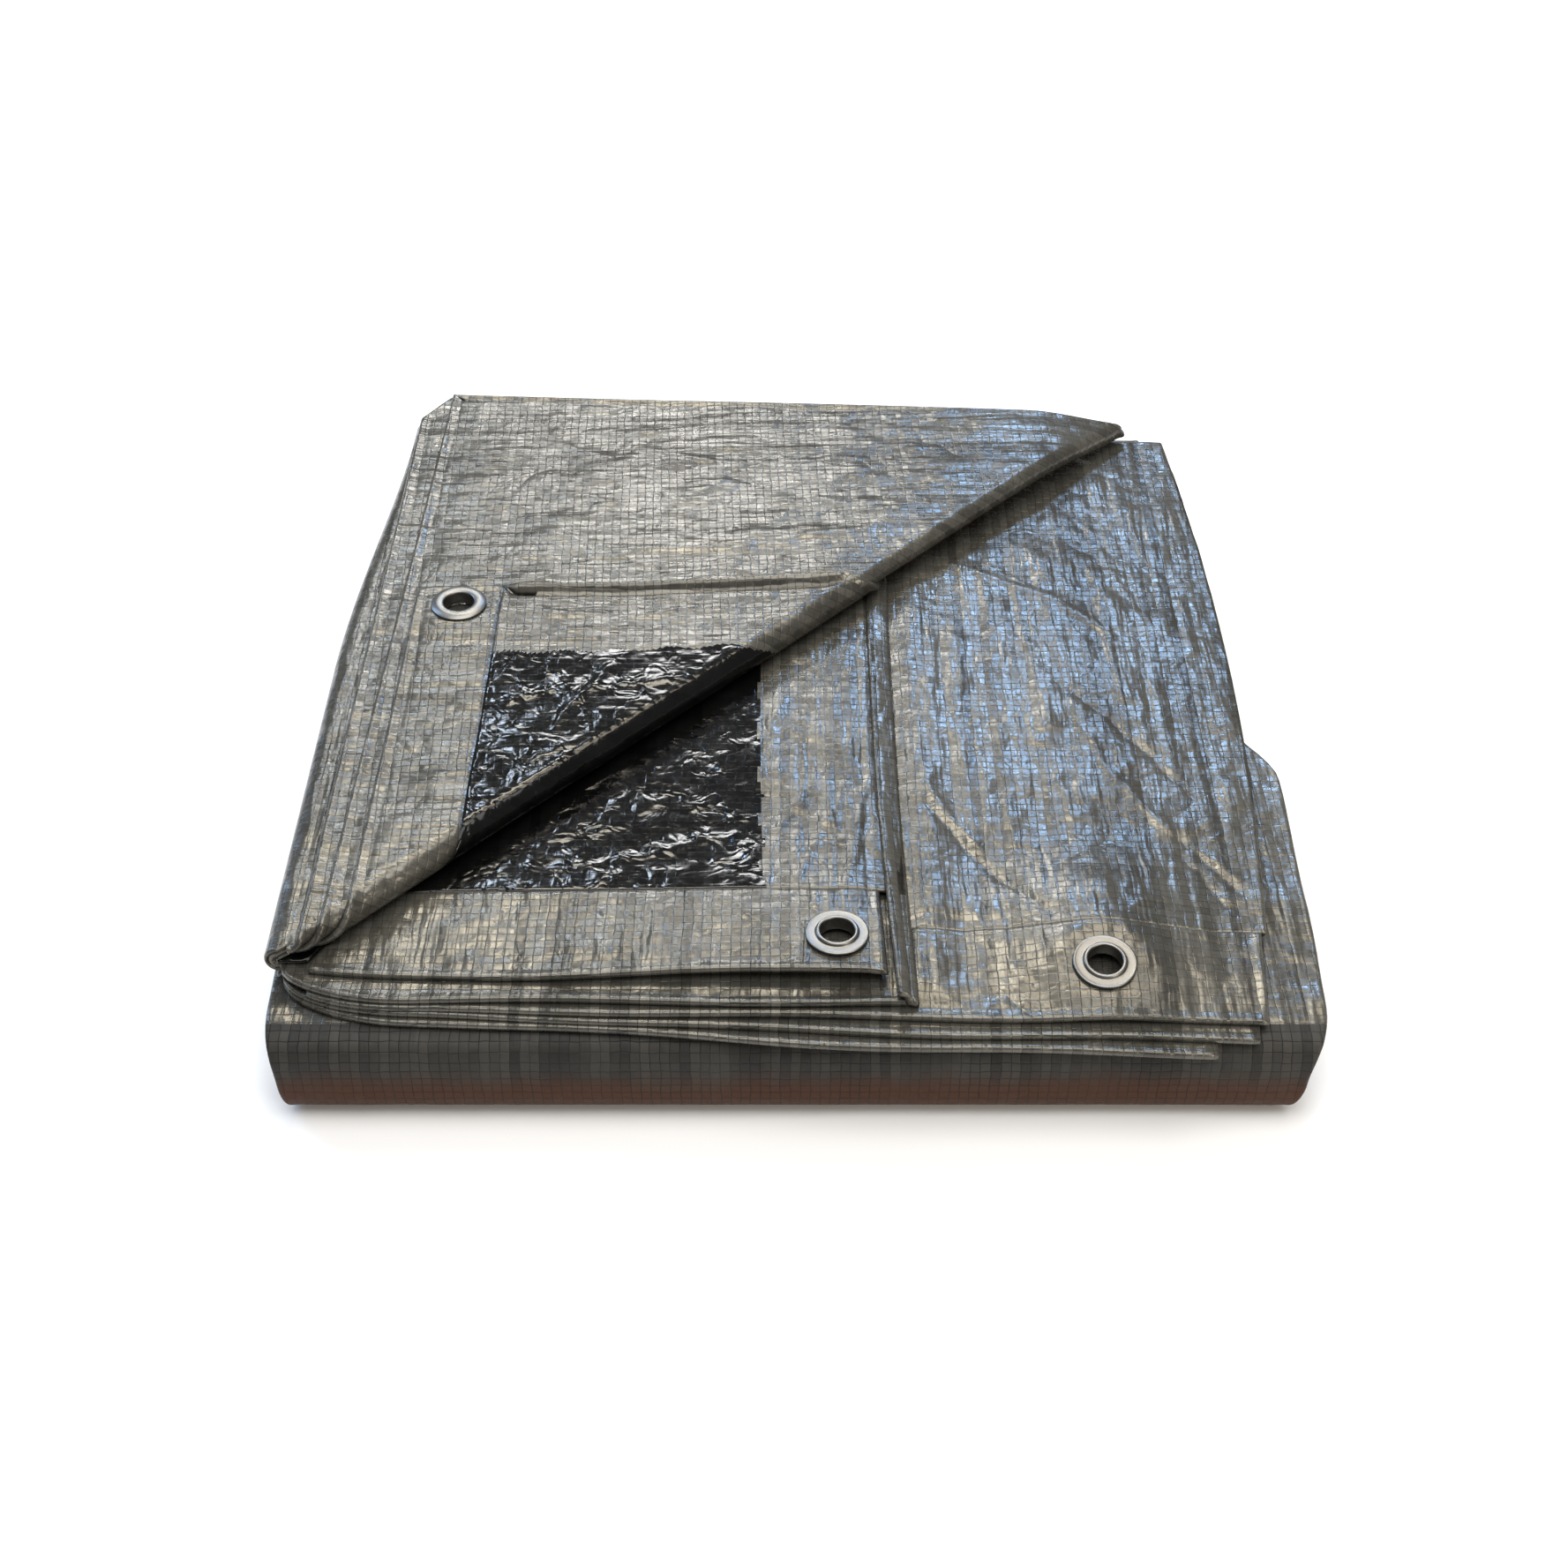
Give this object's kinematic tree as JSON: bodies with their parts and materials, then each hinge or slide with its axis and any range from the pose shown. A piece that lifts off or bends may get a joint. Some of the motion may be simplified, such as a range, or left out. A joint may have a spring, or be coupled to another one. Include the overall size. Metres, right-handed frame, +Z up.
{
  "type": "folded tarpaulin",
  "caption": "Silver and black woven plastic tarpaulin folded into a flat stack, its top corner turned back to show the black side and hems with eyelets.",
  "frame": {"origin": "middle of the stack's plan on the surface it rests on", "axes": "+Z up out of the stack, -Y toward the big front fold, +X along that fold to the right"},
  "size_m": [0.342, 0.3532, 0.0608],
  "materials": {
    "silver_film": "silver coated woven plastic, slightly glossy, black on the other face",
    "eyelet_metal": "pressed aluminium, satin"
  },
  "bodies": {
    "root": {"sheeting": "silver_film", "hem_upper": "silver_film", "hem_middle": "silver_film", "hem_flap": "silver_film", "eyelet_upper": "eyelet_metal", "eyelet_middle": "eyelet_metal", "eyelet_flap": "eyelet_metal"}
  },
  "joints": []
}
